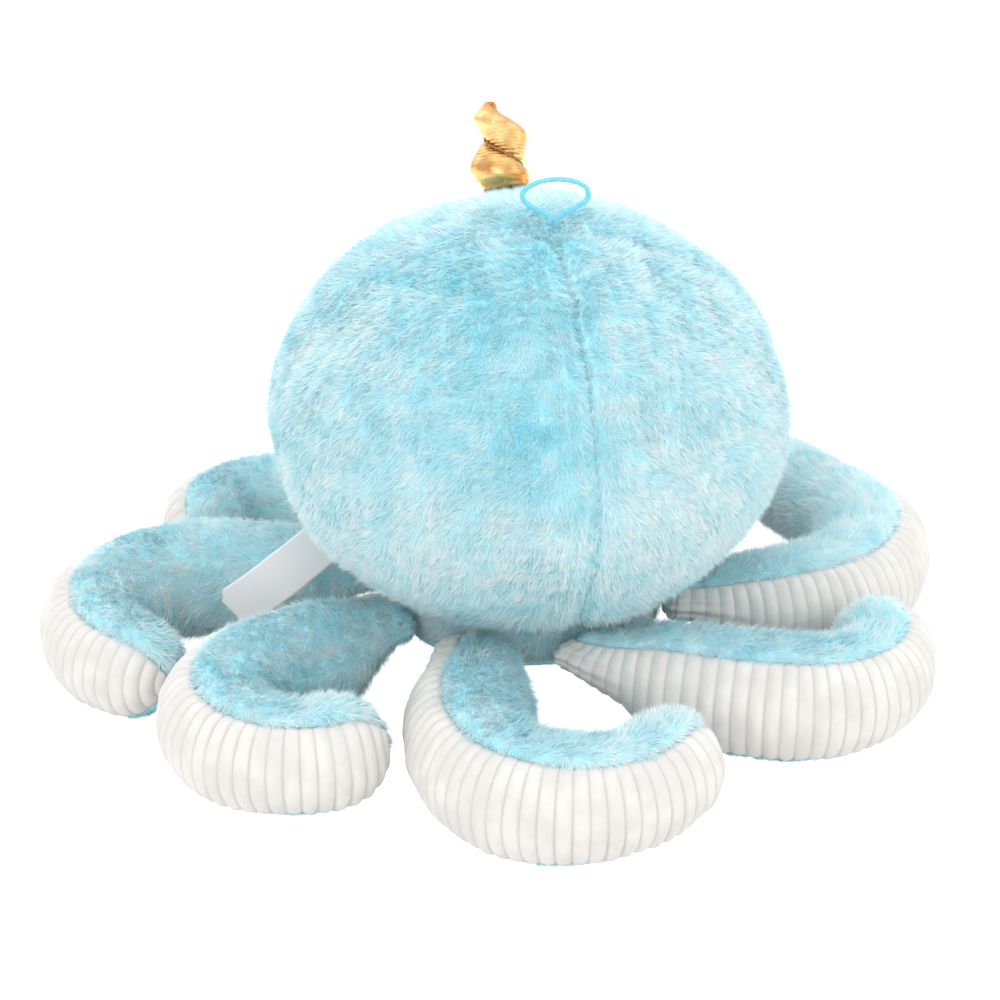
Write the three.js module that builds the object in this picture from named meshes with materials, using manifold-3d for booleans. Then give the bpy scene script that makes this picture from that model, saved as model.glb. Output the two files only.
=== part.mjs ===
// A plush octopus: a ball head of long pile fabric standing on a ring of eight stuffed arms, which all
// curl the same way round. Each arm is fur above and inside its curl and ribbed velour outside it.
// Millimetres, +Z up, the floor at Z = 0, the face towards -Y and the back seam towards +Y.
import * as THREE from "three";
import { mergeVertices } from "three/addons/utils/BufferGeometryUtils.js";
import Module from "manifold-3d";

const wasm = await Module();
wasm.setup();

// Sewing
const fabricThickness = 2.2;
const seamGap = 0.3;
const overrun = 5;

// Head: a ball, with a low hub under it whose flat sides take the arms
const headWidth = 300;
const headHeight = 246;
const headLift = 42;
const hubReach = 80;
const hubLift = 38;
const backSeamX = -8.5;
const crossSeamTopY = 22;
const crossSeamLean = 7;
const headSides = 24;
const headRings = 14;

// Arms, all alike but for how each one lies: gathered flat at the root, round from the belly on
const armLength = 290;
const armRootWidth = 54;
const armRootHeight = 26;
const armBellyWidth = 72;
const armTipWidth = 62;
const armRise = 10;
const swellShare = 0.24;
const taperShare = 0.55;
const squareRootShare = 0.12;
const armRings = 8;
const stepsPerRing = 8;
const rootAngles = [-82, -45];
const tipAngles = [38, 66, 85];

// The corners of an arm's section, from its outer side up and over: one side lies flat on the floor
const furCorners = [64, 102, 141, 180, 221, 260, 280, 304];
const ribbedCorners = [-56, -16, 24, 64];
const floorSideAngle = 80;

// How each arm lies, going round from +X towards the back seam: its root's shift round the hub and its
// splay from straight outwards, its curl, its length and its tip's rise as shares of the values above,
// and the shares of its length at which the curl starts and would be complete.
const arms = [
  { shift: -4, splay: 2, curl: 205, lengthShare: 0.76, riseShare: 0.4, curlShares: [0.22, 1.25] },
  { shift: -6, splay: 14, curl: 166, lengthShare: 0.76, riseShare: 0.6, curlShares: [0.17, 1.18] },
  { shift: -9, splay: 53, curl: 133, lengthShare: 0.69, riseShare: 0.7, curlShares: [0.44, 1.24] },
  { shift: 3, splay: 19, curl: 110, lengthShare: 1.01, riseShare: 0.2, curlShares: [0.07, 0.91] },
  { shift: 0, splay: 38, curl: 146, lengthShare: 0.59, riseShare: 0.8, curlShares: [0.41, 1.39] },
  { shift: 0, splay: 14, curl: 161, lengthShare: 0.56, riseShare: 0.5, curlShares: [0.17, 1.36] },
  { shift: 4, splay: 16, curl: 166, lengthShare: 0.64, riseShare: 0.9, curlShares: [0.41, 1.36] },
  { shift: -2, splay: 4, curl: 190, lengthShare: 0.9, riseShare: 0.1, curlShares: [0.24, 1.27] },
];

// Horn
const hornReach = 70;
const hornLength = 58;
const hornRadius = 16.5;
const hornTipRadius = 2.2;
const hornBowShare = 0.35;
const hornWobble = 4.2;
const hornTurns = 1.5;
const hornStart = 81;
const hornForward = 31;
const hornAside = 7;
const hornTilt = 12;
const hornFabric = 0.9;
const hornRings = 10;
const hornSides = 10;
const hornSwellShare = 0.22;
const threadRadius = 0.7;
const threadShares = [0.1, 0.9];
const threadSteps = 30;
const threadSides = 5;
const threadSeat = 0.9;

// Hanging loop, as a route in its own upright plane: across, then up
const loopRadius = 1.5;
const loopSides = 8;
const loopSteps = 30;
const loopBehindCross = 3;
const loopRoute = [
  [-2.2, 0],
  [-2.2, 3],
  [-5.4, 6.4],
  [-12.6, 10],
  [-17.8, 14.8],
  [-16.7, 20.4],
  [-9, 24.5],
  [1.8, 25.8],
  [11.7, 24],
  [18, 19.7],
  [18.4, 14],
  [12.2, 9.3],
  [5.4, 6.1],
  [2.2, 3],
  [2.2, 0],
];

// Label sewn into the cross seam, low on its right: it stands out square to the ball, as a wave whose
// places are shares of its length and of its sway
const labelWidth = 29;
const labelLength = 76;
const labelThickness = 0.8;
const labelSeamReach = 118;
const labelBearing = -3;
const labelSway = 3;
const labelOutShares = [0, 0.15, 0.3, 0.45, 0.6, 0.75, 0.9, 1];
const labelSwayShares = [0, 0.2, 0.6, 0.9, 1, 0.7, 0.1, -0.4];
const labelCorner = 6;

// Eyes and mouth
const eyeBearing = 24;
const eyeElevation = -6;
const eyeRadius = 12.5;
const eyeDome = 6.5;
const eyeSink = 1.4;
const eyeStemRadius = 2.8;
const eyeStemLength = 14;
const eyeSides = 14;
const eyeArcPoints = 4;
const washerRadius = 10;
const washerThickness = 2;
const mouthHalfBearing = 11;
const mouthElevation = -17;
const mouthDroop = 4.5;
const threadwork = 1.3;
const mouthSteps = 10;
const mouthSides = 6;

// Colours
const furMaterial = new THREE.MeshStandardMaterial({ color: 0xb4e2ee, roughness: 0.95 });
const ribbedMaterial = new THREE.MeshStandardMaterial({ color: 0xf1efeb, roughness: 0.85 });
const stuffingMaterial = new THREE.MeshStandardMaterial({ color: 0xf6f6f2, roughness: 1 });
const goldMaterial = new THREE.MeshStandardMaterial({ color: 0xd9a552, roughness: 0.28, metalness: 0.9 });
const threadMaterial = new THREE.MeshStandardMaterial({ color: 0xa87a35, roughness: 0.6 });
const cordMaterial = new THREE.MeshStandardMaterial({ color: 0x7fd7ee, roughness: 0.6 });
const satinMaterial = new THREE.MeshStandardMaterial({ color: 0xf3f3f5, roughness: 0.45 });
const eyeMaterial = new THREE.MeshStandardMaterial({ color: 0x101012, roughness: 0.12 });
const washerMaterial = new THREE.MeshStandardMaterial({ color: 0xe8e8e8, roughness: 0.5 });
const mouthMaterial = new THREE.MeshStandardMaterial({ color: 0x23404d, roughness: 0.7 });

// Sizes that follow
const headRadius = headWidth / 2;
const headHalfHeight = headHeight / 2;
const headCentreZ = headLift + headHalfHeight;
const radians = THREE.MathUtils.degToRad;
const ringPitch = 360 / arms.length;
const rootBearings = arms.map((arm, index) => (index + 1 / 2) * ringPitch + arm.shift);
const armRootReach = hubReach + seamGap + armRootHeight / 2;
const armRootZ = hubLift + seamGap + armRootHeight / 2;
const up = new THREE.Vector3(0, 0, 1);

const group = new THREE.Group();

// A named piece of the given geometry
function piece(name, geometry, material, holder = group) {
  const mesh = new THREE.Mesh(geometry, material);
  mesh.name = name;
  holder.add(mesh);
  return mesh;
}

// A unit vector in the floor's plane
function bearingVector(degrees) {
  return new THREE.Vector3(Math.cos(radians(degrees)), Math.sin(radians(degrees)), 0);
}

// A closed geometry from its points and triangles, turned so that its faces point out
function closedGeometry(points, triangles) {
  const volume = triangles.reduce(
    (sum, [a, b, c]) => sum + points[a].dot(new THREE.Vector3().crossVectors(points[b], points[c])),
    0,
  );
  const index = triangles.flatMap(([a, b, c]) => (volume < 0 ? [a, c, b] : [a, b, c]));
  const geometry = new THREE.BufferGeometry().setFromPoints(points);
  geometry.setIndex(index);
  geometry.computeVertexNormals();
  return geometry;
}

// Triangles between two rows of points that start at these numbers
function rowTriangles(rowA, rowB, count, closed) {
  const triangles = [];
  const last = closed ? count : count - 1;
  for (let i = 0; i < last; i += 1) {
    const next = (i + 1) % count;
    triangles.push([rowA + i, rowA + next, rowB + next], [rowA + i, rowB + next, rowB + i]);
  }
  return triangles;
}

// The same triangles seen from their other side
function backTriangles(rowA, rowB, count, closed) {
  return rowTriangles(rowA, rowB, count, closed).map((triangle) => triangle.reverse());
}

// A solid through closed rings of as many points each, ending in fans to the middle of each end
function loftGeometry(rings, ends = {}) {
  const count = rings[0].length;
  const middle = (ring) =>
    ring.reduce((sum, point) => sum.add(point), new THREE.Vector3()).divideScalar(count);
  const points = rings.flat();
  points.push(ends.first ?? middle(rings[0]), ends.last ?? middle(rings[rings.length - 1]));
  const triangles = [];
  for (let i = 0; i < rings.length - 1; i += 1) {
    triangles.push(...rowTriangles(i * count, (i + 1) * count, count, true));
  }
  const lastRow = (rings.length - 1) * count;
  for (let i = 0; i < count; i += 1) {
    const next = (i + 1) % count;
    triangles.push([points.length - 2, next, i]);
    triangles.push([points.length - 1, lastRow + i, lastRow + next]);
  }
  return closedGeometry(points, triangles);
}

// A sheet of fabric as a closed solid: rows of outer points over rows of inner points
function sheetGeometry(outer, inner) {
  const count = outer[0].length;
  const rows = outer.length;
  const points = [...outer.flat(), ...inner.flat()];
  const under = rows * count;
  const triangles = [];
  for (let i = 0; i < rows - 1; i += 1) {
    const row = i * count;
    const next = row + count;
    triangles.push(...rowTriangles(row, next, count, false));
    triangles.push(...backTriangles(under + row, under + next, count, false));
    for (const edge of [0, count - 1]) {
      const quad = [row + edge, next + edge, under + next + edge, under + row + edge];
      if (edge) quad.reverse();
      triangles.push([quad[0], quad[1], quad[2]], [quad[0], quad[2], quad[3]]);
    }
  }
  const lastRow = (rows - 1) * count;
  triangles.push(...rowTriangles(under, 0, count, false));
  triangles.push(...rowTriangles(lastRow, under + lastRow, count, false));
  return closedGeometry(points, triangles);
}

// A cup of fabric, such as a horn's cover: closed at its tip and open at its rim
function cupGeometry(outer, inner, outerTip, innerTip) {
  const count = outer[0].length;
  const rows = outer.length;
  const points = [...outer.flat(), ...inner.flat(), outerTip, innerTip];
  const under = rows * count;
  const lastRow = (rows - 1) * count;
  const triangles = rowTriangles(under, 0, count, true);
  for (let i = 0; i < rows - 1; i += 1) {
    const row = i * count;
    triangles.push(...rowTriangles(row, row + count, count, true));
    triangles.push(...backTriangles(under + row, under + row + count, count, true));
  }
  for (let i = 0; i < count; i += 1) {
    const next = (i + 1) % count;
    triangles.push([lastRow + i, lastRow + next, points.length - 2]);
    triangles.push([under + lastRow + next, under + lastRow + i, points.length - 1]);
  }
  return closedGeometry(points, triangles);
}

// A round cord along a curve
function tubeGeometry(curve, radius, sides, steps) {
  const section = new THREE.Shape();
  for (let i = 0; i < sides; i += 1) {
    const angle = (2 * Math.PI * i) / sides;
    const corner = [radius * Math.cos(angle), radius * Math.sin(angle)];
    if (i) section.lineTo(...corner);
    else section.moveTo(...corner);
  }
  return new THREE.ExtrudeGeometry(section, { steps, extrudePath: curve, bevelEnabled: false });
}

// Booleans: a geometry as a solid, and a solid as a geometry
function toSolid(geometry) {
  const bare = geometry.clone();
  bare.deleteAttribute("normal");
  bare.deleteAttribute("uv");
  const merged = mergeVertices(bare);
  return new wasm.Manifold(
    new wasm.Mesh({
      numProp: 3,
      vertProperties: merged.attributes.position.array,
      triVerts: new Uint32Array(merged.index.array),
    }),
  );
}

function toGeometry(solid) {
  const mesh = solid.getMesh();
  const geometry = new THREE.BufferGeometry();
  geometry.setAttribute("position", new THREE.BufferAttribute(mesh.vertProperties, mesh.numProp));
  geometry.setIndex(new THREE.BufferAttribute(mesh.triVerts, 1));
  geometry.computeVertexNormals();
  return geometry;
}

// Head: the ball and the hub under it, both drawn in by an inset
function ballGeometry(inset) {
  const ball = new THREE.SphereGeometry(1, headSides, headRings);
  ball.rotateX(Math.PI / 2);
  ball.scale(headRadius - inset, headRadius - inset, headHalfHeight - inset);
  ball.translate(0, 0, headCentreZ);
  return ball;
}

// The hub has a flat side square to each arm's root
function hubGeometry(inset, fromZ) {
  const outline = new THREE.Shape();
  rootBearings.forEach((bearing, index) => {
    const last = index === rootBearings.length - 1;
    const following = last ? rootBearings[0] + 360 : rootBearings[index + 1];
    const halfTurn = (following - bearing) / 2;
    const reach = (hubReach - inset) / Math.cos(radians(halfTurn));
    const corner = bearingVector(bearing + halfTurn).multiplyScalar(reach);
    if (index) outline.lineTo(corner.x, corner.y);
    else outline.moveTo(corner.x, corner.y);
  });
  const hub = new THREE.ExtrudeGeometry(outline, { depth: headCentreZ - fromZ, bevelEnabled: false });
  hub.translate(0, 0, fromZ);
  return hub;
}

function headSolid(inset, fromZ) {
  return toSolid(ballGeometry(inset)).add(toSolid(hubGeometry(inset, fromZ)));
}

// A block that keeps one panel's side of the seams: its Y counts from the leaning cross seam
function seamBlock(fromX, toX, fromY, toY) {
  const depth = 2 * headHeight;
  const block = new THREE.BoxGeometry(toX - fromX, toY - fromY, depth);
  block.translate((fromX + toX) / 2, (fromY + toY) / 2, 0);
  block.rotateX(-radians(crossSeamLean));
  block.translate(0, crossSeamTopY, headLift + headHeight);
  return toSolid(block);
}

// Where a line meets the ball, with the way that its surface faces there
const ballMesh = new THREE.Mesh(ballGeometry(0), furMaterial);
ballMesh.updateMatrixWorld(true);
function ballPlace(from, way) {
  const hit = new THREE.Raycaster(from, way).intersectObject(ballMesh)[0];
  return { point: hit.point, normal: hit.face.normal.clone() };
}

// The place on top of the ball above a place on the floor plan
function ballTop(x, y) {
  return ballPlace(new THREE.Vector3(x, y, headLift + headHeight + overrun), up.clone().negate());
}

// The place on the front of the ball at a bearing from its middle, and an elevation
function ballFront(bearing, elevation) {
  const way = bearingVector(bearing - 90).multiplyScalar(Math.cos(radians(elevation)));
  way.z = Math.sin(radians(elevation));
  const from = way.clone().multiplyScalar(headWidth);
  from.z += headCentreZ;
  return ballPlace(from, way.negate());
}

// Eye: a domed button with a stem through the fabric, and a washer on the stem inside
function turned(profile) {
  const geometry = new THREE.LatheGeometry(
    profile.map(([radius, height]) => new THREE.Vector2(radius, height)),
    eyeSides,
  );
  return geometry.rotateX(Math.PI / 2);
}

function eyeGeometry(grow) {
  const rim = eyeRadius + grow;
  const profile = [
    [0, -eyeStemLength - grow],
    [eyeStemRadius + grow, -eyeStemLength - grow],
    [eyeStemRadius + grow, -eyeSink - grow],
    [rim, -eyeSink - grow],
  ];
  for (let i = 0; i < eyeArcPoints; i += 1) {
    const angle = (Math.PI / 2) * (i / eyeArcPoints);
    profile.push([rim * Math.cos(angle), (eyeDome + grow) * Math.sin(angle)]);
  }
  profile.push([0, eyeDome + grow]);
  return turned(profile);
}

function washerGeometry(bore, radius, fromDepth, toDepth) {
  return turned([
    [bore, -toDepth],
    [radius, -toDepth],
    [radius, -fromDepth],
    [bore, -fromDepth],
    [bore, -toDepth],
  ]);
}

// The ways from an eye's own axis to its place on the head, left then right
const eyes = [1, -1].map((side) => {
  const { point, normal } = ballFront(side * eyeBearing, eyeElevation);
  const turn = new THREE.Quaternion().setFromUnitVectors(up, normal);
  return { name: side > 0 ? "left" : "right", point, turn };
});
const washerDepth = fabricThickness + eyeSink + 2 * seamGap;

function placedOn(eye, geometry) {
  return geometry.applyQuaternion(eye.turn).translate(eye.point.x, eye.point.y, eye.point.z);
}

function addEyes() {
  for (const eye of eyes) {
    const place = new THREE.Group();
    place.position.copy(eye.point);
    place.quaternion.copy(eye.turn);
    group.add(place);
    piece(`eye_${eye.name}`, eyeGeometry(0), eyeMaterial, place);
    const bore = eyeStemRadius + seamGap;
    const washer = washerGeometry(bore, washerRadius, washerDepth, washerDepth + washerThickness);
    piece(`eye_washer_${eye.name}`, washer, washerMaterial, place);
  }
}

// Mouth: a line of satin stitch that bows down in the middle
function mouthGeometry(grow) {
  const points = [];
  for (let i = 0; i <= mouthSteps; i += 1) {
    const across = (2 * i) / mouthSteps - 1;
    const elevation = mouthElevation - mouthDroop * (1 - across * across);
    points.push(ballFront(across * mouthHalfBearing, elevation).point);
  }
  const curve = new THREE.CatmullRomCurve3(points);
  return tubeGeometry(curve, threadwork + grow, mouthSides, mouthSteps);
}

function addHead() {
  const floor = hubLift + fabricThickness + seamGap;
  const cover = headSolid(0, floor).subtract(headSolid(fabricThickness, -overrun));
  const half = seamGap / 2;
  const front = seamBlock(-headWidth, headWidth, -headWidth, -half);
  const backLeft = seamBlock(backSeamX + half, headWidth, half, headWidth);
  const backRight = seamBlock(-headWidth, backSeamX - half, half, headWidth);
  let frontPanel = cover.intersect(front).subtract(toSolid(mouthGeometry(seamGap)));
  let stuffing = headSolid(fabricThickness + seamGap, floor + seamGap);
  for (const eye of eyes) {
    const eyeRoom = toSolid(placedOn(eye, eyeGeometry(seamGap)));
    const pocket = washerDepth + washerThickness + seamGap;
    const washerRoom = new THREE.CylinderGeometry(
      washerRadius + seamGap,
      washerRadius + seamGap,
      pocket,
      eyeSides,
    );
    washerRoom.rotateX(Math.PI / 2).translate(0, 0, -pocket / 2);
    frontPanel = frontPanel.subtract(eyeRoom);
    stuffing = stuffing.subtract(eyeRoom).subtract(toSolid(placedOn(eye, washerRoom)));
  }
  piece("head_front_panel", toGeometry(frontPanel), furMaterial);
  piece("head_back_left_panel", toGeometry(cover.intersect(backLeft)), furMaterial);
  piece("head_back_right_panel", toGeometry(cover.intersect(backRight)), furMaterial);
  piece("head_stuffing", toGeometry(stuffing), stuffingMaterial);
  const base = hubGeometry(0, hubLift);
  const slice = new THREE.BoxGeometry(headWidth, headWidth, fabricThickness);
  slice.translate(0, 0, hubLift + fabricThickness / 2);
  piece("head_base_panel", toGeometry(toSolid(base).intersect(toSolid(slice))), furMaterial);
  piece("mouth_stitching", mouthGeometry(0), mouthMaterial);
}

// Arm: half its width and height at a share of its length
function armHalves(share) {
  const swell = THREE.MathUtils.smoothstep(share, 0, swellShare);
  const taper = THREE.MathUtils.smoothstep(share, taperShare, 1);
  const narrowing = (armBellyWidth - armTipWidth) * taper;
  const wide = armRootWidth + (armBellyWidth - armRootWidth) * swell - narrowing;
  const high = armRootHeight + (armBellyWidth - armRootHeight) * swell - narrowing;
  return { wide: wide / 2, high: high / 2, swell };
}

// How high an arm's middle line runs: on the floor, but for its root at the hub and its raised tip
function armMiddleZ(share, riseShare) {
  const { high, swell } = armHalves(share);
  const floorSide = Math.sin(radians(floorSideAngle));
  const rootDrop = armRootZ - (armRootHeight / 2) * floorSide;
  const rise = armRise * riseShare * THREE.MathUtils.smoothstep(share, taperShare, 1);
  return high * floorSide + rootDrop * (1 - swell) + rise;
}

// The places of an arm's sections, with the way that it heads at each, between its two rounded ends
function armPlaces(arm, bearing) {
  const length = armLength * arm.lengthShare;
  const heading = (share) =>
    bearing + arm.splay + arm.curl * THREE.MathUtils.smoothstep(share, ...arm.curlShares);
  const steps = armRings * stepsPerRing;
  const point = bearingVector(bearing).multiplyScalar(armRootReach);
  const places = [];
  for (let i = 0; i <= steps; i += 1) {
    const share = i / steps;
    if (i % stepsPerRing === 0) {
      const squared = THREE.MathUtils.smoothstep(share, 0, squareRootShare);
      const facing = bearing + (heading(share) - bearing) * squared;
      const middle = point.clone().setZ(armMiddleZ(share, arm.riseShare));
      places.push({ middle, facing, ...armHalves(share), end: 0 });
    }
    const halfStep = 1 / (2 * steps);
    point.addScaledVector(bearingVector(heading(share + halfStep)), length / steps);
  }
  const root = rootAngles.map((end) => ({ ...places[0], end }));
  const tip = tipAngles.map((end) => ({ ...places[armRings], end }));
  return [...root, ...places, ...tip];
}

// The points of an arm's section at the given angles, 0 outside its curl and 90 on top
function armRing(place, inset, angles) {
  const forward = bearingVector(place.facing);
  const outside = bearingVector(place.facing - 90);
  const shrink = Math.cos(radians(place.end));
  const wide = (place.wide - inset) * shrink;
  const high = (place.high - inset) * shrink;
  const along = (place.high - inset) * Math.sin(radians(place.end));
  const middle = place.middle.clone().addScaledVector(forward, along);
  return angles.map((angle) =>
    middle
      .clone()
      .addScaledVector(outside, wide * Math.cos(radians(angle)))
      .addScaledVector(up, high * Math.sin(radians(angle))),
  );
}

// A panel's corners, with the first and last drawn back by half the gap between the panels
function panelCorners(place, corners) {
  const back = THREE.MathUtils.radToDeg(seamGap / 2 / (place.high * Math.cos(radians(place.end))));
  const last = corners.length - 1;
  return corners.map((angle, i) => angle + (i === 0 ? back : 0) - (i === last ? back : 0));
}

function armPanel(places, corners) {
  const rows = (inset) => places.map((place) => armRing(place, inset, panelCorners(place, corners)));
  return sheetGeometry(rows(0), rows(fabricThickness));
}

// The stuffing keeps the corners of both panels, so that it lies evenly under them
function addArms() {
  const allCorners = [...furCorners, ...ribbedCorners.slice(1, -1)];
  arms.forEach((arm, index) => {
    const places = armPlaces(arm, rootBearings[index]);
    const name = `arm_${index + 1}`;
    const inside = places.map((place) => armRing(place, fabricThickness + seamGap, allCorners));
    piece(`${name}_fur_panel`, armPanel(places, furCorners), furMaterial);
    piece(`${name}_ribbed_panel`, armPanel(places, ribbedCorners), ribbedMaterial);
    piece(`${name}_stuffing`, loftGeometry(inside), stuffingMaterial);
  });
}

// Horn: the middle of its section, and its radius, at each share of its length
function hornMiddle(share, tip) {
  const straight = hornBowShare * hornLength * share * (1 - share);
  const spiral = radians(hornStart) - 2 * Math.PI * hornTurns * share;
  const wobble = hornWobble * Math.sin(Math.PI * share);
  return new THREE.Vector3(wobble * Math.cos(spiral), wobble * Math.sin(spiral), straight).addScaledVector(
    tip,
    share,
  );
}

function hornWidth(share) {
  const swell = THREE.MathUtils.smoothstep(share, 0, hornSwellShare);
  const body = hornRadius - (hornRadius - hornTipRadius) * share * share;
  return body * (1 - (hornTipRadius / hornRadius) * (1 - swell));
}

function hornRows(inset, tip, rimZ) {
  return Array.from({ length: hornRings }, (_, row) => {
    const share = row / hornRings;
    const middle = hornMiddle(share, tip);
    middle.z += rimZ * (1 - share);
    return Array.from({ length: hornSides }, (_, side) => {
      const angle = (2 * Math.PI * side) / hornSides;
      const reach = hornWidth(share) - inset;
      return middle.clone().add(new THREE.Vector3(reach * Math.cos(angle), reach * Math.sin(angle), 0));
    });
  });
}

// The thread that draws the horn's cover in runs up the hollow side of its spiral
function hornThread(tip, rimZ) {
  const points = [];
  for (let i = 0; i <= threadSteps; i += 1) {
    const share = threadShares[0] + ((threadShares[1] - threadShares[0]) * i) / threadSteps;
    const middle = hornMiddle(share, tip);
    middle.z += rimZ * (1 - share);
    const angle = radians(hornStart) - 2 * Math.PI * hornTurns * share + Math.PI;
    const reach = hornWidth(share) + threadRadius + threadSeat;
    points.push(middle.add(new THREE.Vector3(reach * Math.cos(angle), reach * Math.sin(angle), 0)));
  }
  return tubeGeometry(new THREE.CatmullRomCurve3(points), threadRadius, threadSides, threadSteps);
}

function addHorn() {
  const { point, normal } = ballTop(0, -hornReach);
  const place = new THREE.Group();
  place.position.copy(point);
  place.quaternion.setFromUnitVectors(up, normal);
  group.add(place);
  const lean = new THREE.Vector3(Math.tan(radians(hornAside)), -Math.tan(radians(hornForward)), 1);
  const tip = lean.normalize().multiplyScalar(hornLength).applyQuaternion(place.quaternion.clone().invert());
  const rimZ = seamGap + hornRadius * Math.tan(radians(hornTilt));
  const along = tip.clone().normalize();
  const coverTip = tip.clone().addScaledVector(along, hornTipRadius);
  const innerTip = tip.clone().addScaledVector(along, hornTipRadius - 2 * hornFabric);
  const cover = cupGeometry(hornRows(0, tip, rimZ), hornRows(hornFabric, tip, rimZ), coverTip, innerTip);
  const stuffing = loftGeometry(hornRows(hornFabric + seamGap, tip, rimZ), {
    first: new THREE.Vector3(0, 0, seamGap),
    last: tip.clone().addScaledVector(along, -hornTipRadius),
  });
  piece("horn_cover", cover, goldMaterial, place);
  piece("horn_stuffing", stuffing, stuffingMaterial, place);
  piece("horn_thread", hornThread(tip, rimZ), threadMaterial, place);
  return { point, normal };
}

// Hanging loop: both of its ends go into the top of the back seam
function addLoop() {
  const { point, normal } = ballTop(backSeamX, crossSeamTopY + loopBehindCross);
  const place = new THREE.Group();
  place.position.copy(point);
  place.quaternion.setFromUnitVectors(up, normal);
  group.add(place);
  const route = loopRoute.map(([across, high]) => new THREE.Vector3(-across, 0, high + seamGap));
  const curve = new THREE.CatmullRomCurve3(route);
  piece("hanging_loop", tubeGeometry(curve, loopRadius, loopSides, loopSteps), cordMaterial, place);
}

// Label: a strip of satin, its width along the seam, with cut corners at its free end
function addLabel() {
  const below = bearingVector(labelBearing).multiplyScalar(labelSeamReach);
  const { point, normal } = ballPlace(below, up);
  const side = bearingVector(labelBearing + 90);
  const out = normal.addScaledVector(side, -normal.dot(side)).normalize();
  const along = new THREE.Vector3().crossVectors(out, side);
  const place = new THREE.Group();
  place.position.copy(point);
  place.quaternion.setFromRotationMatrix(new THREE.Matrix4().makeBasis(out, side, along));
  group.add(place);
  const last = labelOutShares.length - 1;
  const rings = labelOutShares.map((outShare, index) => {
    const half = labelWidth / 2 - (index === last ? labelCorner : 0);
    const x = seamGap + labelLength * outShare;
    const y = labelSway * labelSwayShares[index];
    const corners = [[1, 1], [1, -1], [-1, -1], [-1, 1]];
    return corners.map(([a, b]) => new THREE.Vector3(x, y + (b * labelThickness) / 2, a * half));
  });
  piece("sewn_label", loftGeometry(rings), satinMaterial, place);
  return { point, along };
}

addHead();
addArms();
const horn = addHorn();
addLoop();
const label = addLabel();
addEyes();

// The part's origin is the middle of the floor that the toy covers
const middle = new THREE.Box3().setFromObject(group, true).getCenter(new THREE.Vector3());
group.position.set(-middle.x, -middle.y, 0);
const part = new THREE.Group();
part.add(group);

// Where the moving pieces turn
const rounded = (vector) => vector.toArray().map((size) => size.toFixed(3));
const moved = (vector) => rounded(vector.clone().add(group.position));
console.log(`the toy moved by ${rounded(group.position)}`);
rootBearings.forEach((bearing, index) => {
  const root = bearingVector(bearing).multiplyScalar(armRootReach).setZ(armRootZ);
  console.log(`arm_${index + 1} turns about ${moved(root)}, bearing ${bearing}`);
});
console.log(`horn tilts about ${moved(horn.point)}`);
console.log(`label swings about ${moved(label.point)} along ${rounded(label.along)}`);

export default part;
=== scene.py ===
"""Dresses the plush octopus: long-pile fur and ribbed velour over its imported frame.

Shapes are worked out in millimetres and leave for the meshes in metres. A surface is a grid of
points whose rows run along a piece and whose columns run round it.
"""

import math

import bpy
import numpy as np
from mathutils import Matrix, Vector


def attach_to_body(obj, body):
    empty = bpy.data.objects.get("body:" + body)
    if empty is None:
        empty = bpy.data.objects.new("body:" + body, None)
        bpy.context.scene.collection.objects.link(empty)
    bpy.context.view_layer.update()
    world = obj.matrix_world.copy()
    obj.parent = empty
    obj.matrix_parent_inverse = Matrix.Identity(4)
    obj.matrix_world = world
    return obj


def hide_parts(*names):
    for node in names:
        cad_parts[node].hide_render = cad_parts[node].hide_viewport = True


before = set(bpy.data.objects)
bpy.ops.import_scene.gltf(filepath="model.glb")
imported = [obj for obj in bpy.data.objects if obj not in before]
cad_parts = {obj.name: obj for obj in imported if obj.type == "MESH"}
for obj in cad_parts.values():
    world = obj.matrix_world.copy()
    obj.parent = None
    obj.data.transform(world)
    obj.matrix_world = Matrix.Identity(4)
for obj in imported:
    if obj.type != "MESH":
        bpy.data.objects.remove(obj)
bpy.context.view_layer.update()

MM = 0.001
ORIGIN = np.array([-10.222, -11.394, 0.0])  # the middle of the ball, at floor height
UP = np.array([0.0, 0.0, 1.0])
OFF_AXIS = np.array([0.31, 0.52, 0.79])  # a direction in which no cord starts
FAR = 99.0  # farther from a seam than its dip reaches
FLOOR_CLEARANCE = 0.2

# The ball, the hub under it and the hub's base. Angles are in degrees above the ball's middle.
BALL_RADII = np.array([150.0, 150.0, 123.0])
BALL_MIDDLE = ORIGIN + np.array([0.0, 0.0, 165.0])
BALL_TOP = 288.0
BALL_LOWEST, BALL_HIGHEST = -55.5, 89.6
HUB_RADIUS = 80.0
HUB_FLOOR = 40.6
HUB_DRAWN_IN = 2.4
HUB_TOP, HUB_BLEND_TOP = 58.0, 84.0
BASE_RADIUS, BASE_HEIGHT, BASE_THICKNESS = 79.4, 38.4, 1.8
HEAD_INSET, HEAD_FILLING_INSET = 1.2, 7.0
WASHER_DENT, WASHER_DENT_REACH = 12.0, 15.0

# The head's seams: where they run, how far the fabric beside them is drawn in and the heights over
# which that starts. Then the deeper blue patch: how far left of the back seam its middle is, and the
# distances and heights over which it fades.
BACK_SEAM_X = ORIGIN[0] - 8.5
CROSS_SEAM_Y = 22.0
CROSS_SEAM_LEAN = math.tan(math.radians(7))
CROSS_SEAM_SHARE = 0.45
SEAM_DIP, SEAM_DIP_REACH = 4.2, 11.0
SEAM_CREASE, SEAM_CREASE_REACH = 2.6, 3.5
SEAM_HEIGHTS = (70.0, 150.0)
DEEP_MIDDLE, DEEP_FADES, DEEP_HEIGHTS = 45.0, (22.0, 75.0), (145.0, 200.0)

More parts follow.
